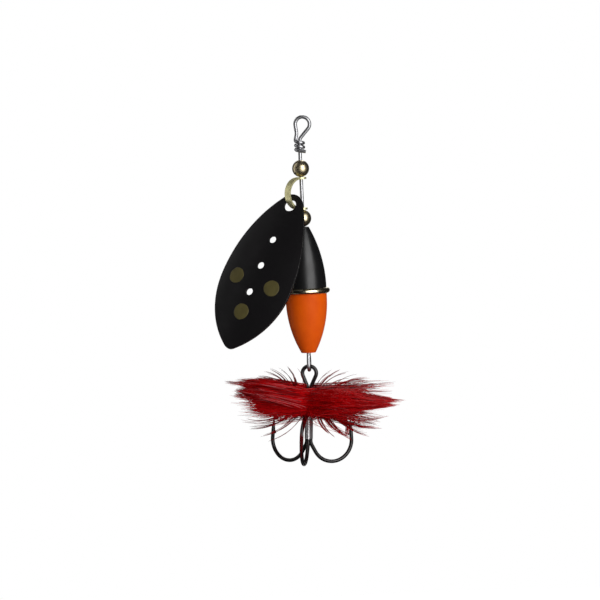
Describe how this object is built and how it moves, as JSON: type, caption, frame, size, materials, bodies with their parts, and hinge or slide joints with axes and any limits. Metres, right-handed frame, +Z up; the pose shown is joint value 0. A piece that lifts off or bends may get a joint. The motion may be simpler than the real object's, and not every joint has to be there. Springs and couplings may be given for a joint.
{
  "type": "inline spinner",
  "caption": "Inline spinner lure: a bent wire shaft with beads, a clevis and cupped blade, a weighted two-tone body and a treble hook dressed with hair.",
  "frame": {"origin": "on the shaft's axis, inside the line eye, level with its widest place", "axes": "+Z up along the shaft towards the line; +Y through the line eye, towards the back; +X to the right seen from the front"},
  "size_m": [0.038, 0.026, 0.0825],
  "materials": {
    "steel_wire": "drawn stainless wire",
    "brass": "polished brass",
    "pale_brass": "polished pale brass",
    "black_blade": "black lacquer over brass, with olive-gold spots",
    "black_body": "gloss black lacquer",
    "orange_body": "gloss fluorescent orange lacquer",
    "black_nickel": "black nickel plated steel",
    "red_thread": "waxed tying thread",
    "silver_tinsel": "flat silver tinsel",
    "red_hair": "dyed bucktail hair"
  },
  "bodies": {
    "shaft": {"wire_shaft": "steel_wire"},
    "lower_bead": {"lower_bead": "brass"},
    "clevis": {"clevis": "pale_brass"},
    "blade": {"blade": "black_blade"},
    "upper_bead": {"upper_bead": "brass"},
    "lure_body": {"nose_shell": "black_body", "collar_ring": "pale_brass", "tail_shell": "orange_body", "weight_core": "brass"},
    "treble": {"treble_double_hook": "black_nickel", "treble_single_hook": "black_nickel", "binding_thread": "red_thread", "shank_wrap": "silver_tinsel", "hair_skirt": "red_hair"}
  },
  "joints": [
    {"name": "stack_slide", "type": "slide", "parent": "shaft", "child": "lower_bead", "axis": [0, 0, 1], "range_m": [0, 0.0014]},
    {"name": "clevis_spin", "type": "hinge", "parent": "lower_bead", "child": "clevis", "pos_m": [0, 0, -0.02], "axis": [0, 0, 1], "continuous": true},
    {"name": "upper_bead_spin", "type": "hinge", "parent": "lower_bead", "child": "upper_bead", "pos_m": [0, 0, -0.01], "axis": [0, 0, 1], "continuous": true},
    {"name": "blade_tilt", "type": "hinge", "parent": "clevis", "child": "blade", "pos_m": [-0.00233, -0.00259, -0.01846], "axis": [-0.7431, 0.6691, 0], "range_deg": [-10, 30]},
    {"name": "body_spin", "type": "hinge", "parent": "shaft", "child": "lure_body", "pos_m": [0, 0, -0.04], "axis": [0, 0, 1], "continuous": true},
    {"name": "hook_swing", "type": "hinge", "parent": "shaft", "child": "treble", "pos_m": [0, 0, -0.05774], "axis": [0, 1, 0], "range_deg": [-33.2, 26.8]}
  ]
}
